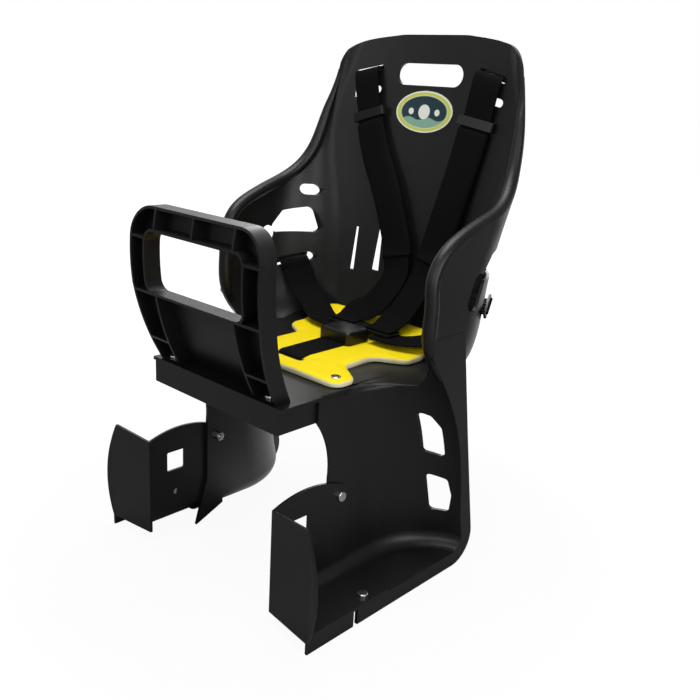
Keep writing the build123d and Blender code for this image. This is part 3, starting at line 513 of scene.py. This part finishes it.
def web_station(route, share):
    """Place, direction across and face direction of a web at a share of its route."""
    points = [Vector((x, y - ledge_depth_mm, z)) / 1000 for (x, y, z), across in route]
    sides = [Vector(across) for point, across in route]
    spot = on_line(points, share)
    along = (on_line(points, min(share + 0.004, 1)) - on_line(points, max(share - 0.004, 0))).normalized()
    side = on_line(sides, share)
    side = (side - along * side.dot(along)).normalized()
    return spot, side, side.cross(along)


# %% Lay a web along a route
web_width, web_thickness = 0.038, 0.0018


def lay_web(name, route, rows, finish, node):
    """Web along a route, in the place of its node."""
    bpy.ops.mesh.primitive_grid_add(x_subdivisions=6, y_subdivisions=rows, size=1)
    web = bpy.context.object
    web.name = name
    for vertex in web.data.vertices:
        spot, side, _ = web_station(route, vertex.co.y + 0.5)
        vertex.co = spot + side * vertex.co.x * web_width
    body = web.modifiers.new("body", "SOLIDIFY")
    body.thickness = web_thickness
    body.offset = 0
    bpy.ops.object.modifier_apply(modifier="body")
    selvedge = web.modifiers.new("selvedge", "BEVEL")
    selvedge.width = web_thickness * 0.35
    selvedge.segments = 2
    selvedge.limit_method = "ANGLE"
    selvedge.angle_limit = radians(60)
    bpy.ops.object.modifier_apply(modifier="selvedge")
    bpy.ops.object.shade_smooth_by_angle(angle=radians(50))
    web.data.materials.append(finish)
    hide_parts(node)
    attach(web, "root")
    print(name, "faces", len(web.data.polygons))


# %% Lay the five webs
flat = (1, 0, 0)
left_lean, right_lean = (0.978, 0, -0.208), (0.978, 0, 0.208)
left_shoulder = [
    ((95, 347, 567), left_lean), ((95, 333, 567), left_lean), ((94, 321, 564), left_lean),
    ((88, 316.5, 520), left_lean), ((85.6, 314.5, 505), left_lean), ((80, 310, 470), flat),
    ((70, 302.5, 416), flat), ((58, 296, 360), flat), ((54, 291, 342), flat), ((50, 283, 318), flat),
    ((40, 264, 284), flat), ((33, 254, 271), flat), ((30, 246, 264), flat), ((30, 238, 262.2), flat),
    ((30, 231, 262), flat),
]
right_shoulder = [
    ((-95, 347, 567), right_lean), ((-95, 333, 567), right_lean), ((-94, 321, 564), right_lean),
    ((-82, 316.5, 520), right_lean), ((-77.5, 314.5, 505), right_lean), ((-62, 310, 470), flat),
    ((-30, 302.5, 416), flat), ((-4, 296, 360), flat), ((2, 291, 342), flat), ((8, 283, 318), flat),
    ((-6, 264, 284), flat), ((-26, 254, 271), flat), ((-30, 246, 264), flat), ((-30, 238, 262.2), flat),
    ((-30, 231, 262), flat),
]
left_lap = [
    ((29, 233, 256), (0, 1, 0)), ((54, 233, 256), (0, 1, 0)), ((76, 239, 258), (-0.1, 1, 0.1)),
    ((103, 254, 265), (-0.25, 1, 0.2)), ((128, 258, 282), (-0.45, 0.88, 0.15)),
    ((142, 258, 303), (-0.6, 0.8, 0.15)), ((149, 257, 314.5), (-0.636, 0.77, 0.2)),
    ((161, 262.5, 317), (-0.636, 0.77, 0.2)), ((166.5, 265, 318.1), (-0.636, 0.77, 0.2)),
]
right_lap = [((-x, y, z), (-a, b, c)) for (x, y, z), (a, b, c) in left_lap]
crotch = [
    ((0, 192, 249.9), flat), ((0, 178, 249.3), flat), ((0, 164, 249.0), flat), ((0, 152, 248.8), flat),
    ((0, 142, 248.6), flat), ((0, 134, 248.4), flat), ((0, 127, 248.3), flat), ((0, 121, 248.3), flat),
    ((0, 117, 248.0), flat), ((0, 114, 247.0), flat), ((0, 112.4, 245), flat), ((0, 112, 242), flat),
    ((0, 112, 237), flat), ((0, 112, 232), flat), ((0, 112, 227), flat),
]
lay_web("left_shoulder_web", left_shoulder, 120, shoulder_webbing, "left_shoulder_strap")
lay_web("right_shoulder_web", right_shoulder, 120, shoulder_webbing, "right_shoulder_strap")
lay_web("left_lap_web", left_lap, 70, lap_webbing, "left_lap_strap")
lay_web("right_lap_web", right_lap, 70, lap_webbing, "right_lap_strap")
lay_web("crotch_web", crotch, 60, crotch_webbing, "crotch_strap")

# %% [markdown]
# ## The shoulder sleeves
# A sleeve is a strip of padded cloth wrapped round the web and sewn along its edges. A grid is wrapped into
# a flat tube along the same route. The padding swells the middle, and the sewn edges stay thin.


# %% Wrap the sleeves
def wrap_sleeve(name, route, first, last, width, thickness, node):
    """Padded tube round a web, between two of its stations."""
    bpy.ops.mesh.primitive_grid_add(x_subdivisions=48, y_subdivisions=60, size=1)
    sleeve = bpy.context.object
    sleeve.name = name
    start, end = first / (len(route) - 1), last / (len(route) - 1)
    end_row, hem_thickness, hem_width, sewn_thickness = 0.001, 0.55, 0.97, 0.35
    for vertex in sleeve.data.vertices:
        share = vertex.co.y + 0.5
        round_share = 2 * pi * (vertex.co.x + 0.5)
        spot, side, face = web_station(route, start + (end - start) * share)
        close = min(share, 1 - share)
        hem = hem_thickness if close < end_row else min(1.0, 0.82 + close * 6)
        wide = cos(round_share)
        edge = 1.0 - max(0.0, abs(wide) - 0.86) * 4.5
        swell = abs(sin(round_share)) ** 0.55 * (1 if sin(round_share) >= 0 else -1)
        spread = abs(wide) ** 0.7 * (1 if wide >= 0 else -1)
        half_width = width / 2 * (1 if close >= end_row else hem_width)
        half_thickness = thickness / 2 * hem * max(edge, sewn_thickness)
        vertex.co = spot + side * spread * half_width + face * swell * half_thickness
    bpy.ops.object.mode_set(mode="EDIT")
    bpy.ops.mesh.select_all(action="SELECT")
    bpy.ops.mesh.remove_doubles(threshold=0.0001)
    bpy.ops.mesh.normals_make_consistent(inside=False)
    bpy.ops.object.mode_set(mode="OBJECT")
    bpy.ops.object.shade_smooth()
    sleeve.data.materials.append(sleeve_cloth)
    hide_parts(node)
    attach(sleeve, "root")
    print(name, "faces", len(sleeve.data.polygons))


wrap_sleeve("left_shoulder_sleeve", left_shoulder, 4, 8, 0.044, 0.007, "left_sleeve")
wrap_sleeve("right_shoulder_sleeve", right_shoulder, 4, 8, 0.044, 0.007, "right_sleeve")

# %% [markdown]
# ## The seat pad
# The pad is a sheet of foam with a yellow face, cut to a waisted shape. Its cut edge is rounded and pale.
# The node's solid is remeshed and blown up a little as cloth, so that the face is crowned and the edge
# rolls over. A value kept on each corner says how much it faces up, and the finish reads it.

# %% Finish for the pad
pad_finish, tree, shader = new_finish("yellow_foam", 0.6)
shader.inputs["Specular IOR Level"].default_value = 0.15
upward = tree.nodes.new("ShaderNodeAttribute")
upward.attribute_name = "facing_up"
skin = place_group(tree, grain, Scale=1400.0)
face = two_colours(tree, skin.outputs["Shade"], (0.84, 0.64, 0.003), (0.92, 0.72, 0.008))
blend = tree.nodes.new("ShaderNodeMix")
blend.data_type = "RGBA"
blend.inputs["A"].default_value = (0.86, 0.82, 0.55, 1)
tree.links.new(face, blend.inputs["B"])
tree.links.new(upward.outputs["Fac"], blend.inputs["Factor"])
tree.links.new(blend.outputs["Result"], shader.inputs["Base Color"])
tree.links.new(between(tree, skin.outputs["Shade"], 0.5, 0.68), shader.inputs["Roughness"])
bump(tree, shader, skin.outputs["Height"], 0.0004, 0.5)
print("pad finish:", pad_finish.name)

# %% Remesh the pad
pad = bpy.data.objects.new("waisted_pad", nodes["seat_pad"].data.copy())
bpy.context.scene.collection.objects.link(pad)
only(pad)
bpy.ops.object.mode_set(mode="EDIT")
bpy.ops.mesh.select_all(action="SELECT")
bpy.ops.mesh.customdata_custom_splitnormals_clear()
bpy.ops.mesh.remove_doubles(threshold=0.00001)
bpy.ops.object.mode_set(mode="OBJECT")
pad.data.remesh_voxel_size = 0.0025
bpy.ops.object.voxel_remesh()
rest = [vertex.co.copy() for vertex in pad.data.vertices]
print("pad points", len(rest))

# %% Blow up the pad
cloth_steps, most_swell, floor_gap = 14, 0.0018, 0.0006
cloth = pad.modifiers.new("cloth", "CLOTH")
cloth.settings.use_pressure = True
cloth.settings.uniform_pressure_force = 3.0
cloth.settings.effector_weights.gravity = 0
for step in range(1, cloth_steps + 1):
    bpy.context.scene.frame_set(step)
bpy.ops.object.modifier_apply(modifier="cloth")
bpy.context.scene.frame_set(1)
for vertex, before in zip(pad.data.vertices, rest):
    move = vertex.co - before
    vertex.co = before + move * min(1.0, most_swell / max(move.length, 1e-9))
ease = pad.modifiers.new("ease", "SMOOTH")
ease.factor = 0.5
ease.iterations = 4
bpy.ops.object.modifier_apply(modifier="ease")
low = min(vertex.co.z for vertex in pad.data.vertices)
for vertex in pad.data.vertices:
    vertex.co.z = max(vertex.co.z, low + floor_gap)
finer = pad.modifiers.new("finer", "SUBSURF")
finer.levels = 1
finer.render_levels = 1
bpy.ops.object.modifier_apply(modifier="finer")
print("pad faces blown up", len(pad.data.polygons))

# %% [markdown]
# ## The slot in the pad
# The crotch web comes up through a slot in the pad. Remeshing and blowing up leave its edge ragged, so a
# block with round ends, a little larger than the slot, is cut out of the pad and then deleted.

# %% Cut the web's slot clean
slot_length, slot_width, slot_depth, slot_place = 0.0445, 0.0084, 0.04, (0, -0.0468, 0.245)
bpy.ops.mesh.primitive_cube_add(size=1, location=slot_place, scale=(slot_length, slot_width, slot_depth))
cutter = bpy.context.object
bpy.ops.object.transform_apply(location=True, rotation=True, scale=True)
ends = cutter.modifiers.new("ends", "BEVEL")
ends.width = slot_width * 0.49
ends.segments = 6
bpy.ops.object.modifier_apply(modifier="ends")
only(pad)
slot = pad.modifiers.new("slot", "BOOLEAN")
slot.operation = "DIFFERENCE"
slot.solver = "EXACT"
slot.object = cutter
bpy.ops.object.modifier_apply(modifier="slot")
only(cutter)
bpy.ops.object.delete()
only(pad)
bpy.ops.object.shade_smooth_by_angle(angle=radians(50))

# %% Dress the pad
facing = pad.data.attributes.new("facing_up", "FLOAT", "POINT")
for vertex in pad.data.vertices:
    facing.data[vertex.index].value = min(1.0, max(0.0, (vertex.normal.z - 0.35) / 0.4))
pad.data.materials.clear()
pad.data.materials.append(pad_finish)
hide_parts("seat_pad")
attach(pad, "root")
print("pad faces", len(pad.data.polygons))

# %% [markdown]
# ## The oval label
# A printed sticker under a clear skin. Its print is plain: a yellow-green rim, a dark teal field that grows
# lighter below a wavy line, and a row of three pale discs. Each shape is a mask, worked out from how far a
# point of the label lies from the shape's middle, so the print stays sharp at any size.

# %% Draw the label's masks
label_finish, tree, shader = new_finish("printed_label", 0.25)
shader.inputs["Coat Weight"].default_value = 0.5
shader.inputs["Coat Roughness"].default_value = 0.1
label_height, label_half_width, label_half_height = 0.521, 0.044, 0.025
place = tree.nodes.new("ShaderNodeTexCoord")
fit = tree.nodes.new("ShaderNodeMapping")
fit.inputs["Location"].default_value = (0, 0, -label_height / label_half_height)
fit.inputs["Scale"].default_value = (1 / label_half_width, 0, 1 / label_half_height)
tree.links.new(place.outputs["Object"], fit.inputs["Vector"])
split = tree.nodes.new("ShaderNodeSeparateXYZ")
tree.links.new(fit.outputs["Vector"], split.inputs["Vector"])
across, upward = split.outputs["X"], split.outputs["Z"]


def oval_mask(middle, half_width, half_height):
    """Mask of an oval on the label, in shares of the label's own half width and half height."""
    shift = tree.nodes.new("ShaderNodeVectorMath")
    shift.operation = "SUBTRACT"
    shift.inputs[1].default_value = (middle, 0, 0)
    tree.links.new(fit.outputs["Vector"], shift.inputs[0])
    scale = tree.nodes.new("ShaderNodeVectorMath")
    scale.operation = "MULTIPLY"
    scale.inputs[1].default_value = (1 / half_width, 0, 1 / half_height)
    tree.links.new(shift.outputs["Vector"], scale.inputs[0])
    length = tree.nodes.new("ShaderNodeVectorMath")
    length.operation = "LENGTH"
    tree.links.new(scale.outputs["Vector"], length.inputs[0])
    return between(tree, length.outputs["Value"], 1.0, 0.0, 0.97, 1.03)


def printed_over(mask, under, ink):
    """Ink printed over the colours so far, where a mask says."""
    node = tree.nodes.new("ShaderNodeMix")
    node.data_type = "RGBA"
    node.inputs["B"].default_value = (*ink, 1)
    tree.links.new(under, node.inputs["A"])
    tree.links.new(mask, node.inputs["Factor"])
    return node.outputs["Result"]


print("label", 2 * label_half_width, "by", 2 * label_half_height, "m")

# %% Print the label
wave = sum_node(tree, "MULTIPLY", sum_node(tree, "SINE", sum_node(tree, "MULTIPLY", across, 9.0)), 0.07)
below = between(tree, sum_node(tree, "SUBTRACT", upward, wave), 1.0, 0.0, -0.36, -0.3)
print_colours = two_colours(tree, oval_mask(0, 0.95, 0.93), (0.78, 0.79, 0.66), (0.55, 0.58, 0.1))
print_colours = printed_over(oval_mask(0, 0.84, 0.8), print_colours, (0.7, 0.72, 0.5))
field = oval_mask(0, 0.81, 0.76)
print_colours = printed_over(field, print_colours, (0.008, 0.035, 0.045))
print_colours = printed_over(sum_node(tree, "MULTIPLY", field, below), print_colours, (0.22, 0.4, 0.3))
for middle, size in ((0, 0.2), (-0.46, 0.09), (0.46, 0.09)):
    disc = oval_mask(middle, size, size * label_half_width / label_half_height)
    print_colours = printed_over(disc, print_colours, (0.78, 0.78, 0.74))
tree.links.new(print_colours, shader.inputs["Base Color"])
fibre = place_group(tree, grain, Scale=2500.0)
tree.links.new(between(tree, fibre.outputs["Shade"], 0.2, 0.34), shader.inputs["Roughness"])
rounded_copy("oval_label", "oval_sticker", 0.0003, 2, label_finish)
